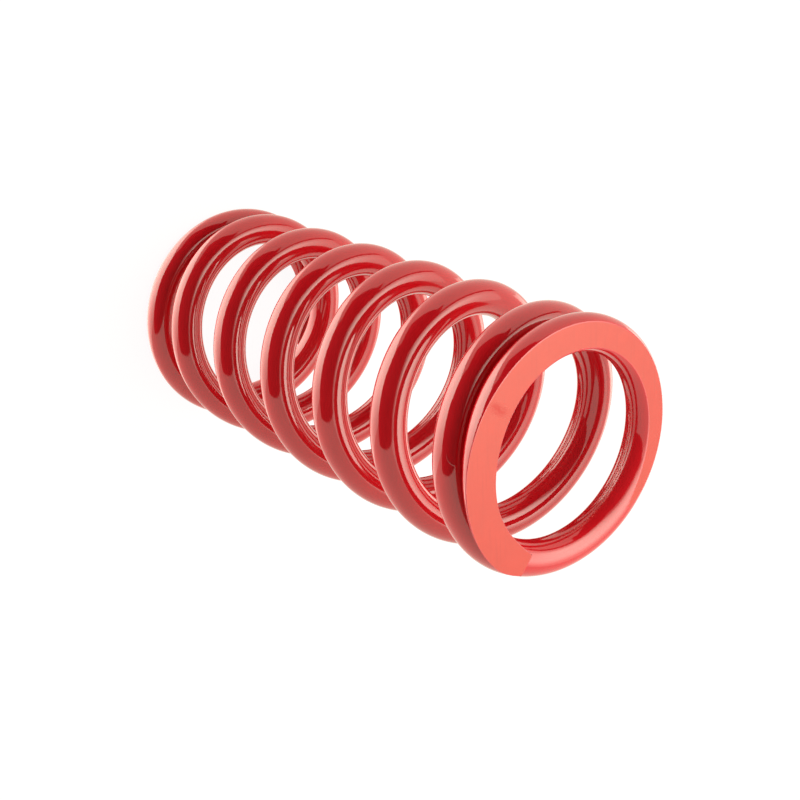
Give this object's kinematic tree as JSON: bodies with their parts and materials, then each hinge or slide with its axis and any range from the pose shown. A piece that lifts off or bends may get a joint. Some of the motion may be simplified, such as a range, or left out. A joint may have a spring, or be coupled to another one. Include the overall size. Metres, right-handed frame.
{
  "type": "coilover spring",
  "caption": "Compression spring of round steel wire, wound right-handed with closed, ground ends and an open bore that a damper body passes through.",
  "frame": {"origin": "centre of the lower ground end, on the coil axis, in the plane that the spring stands on", "axes": "+Z along the coil axis from the lower ground end to the upper one, +X through the lower wire tip"},
  "size_m": [0.0888, 0.0888, 0.2032],
  "materials": {
    "red_coat": "gloss"
  },
  "bodies": {
    "root": {"coil_spring": "red_coat"}
  },
  "joints": []
}
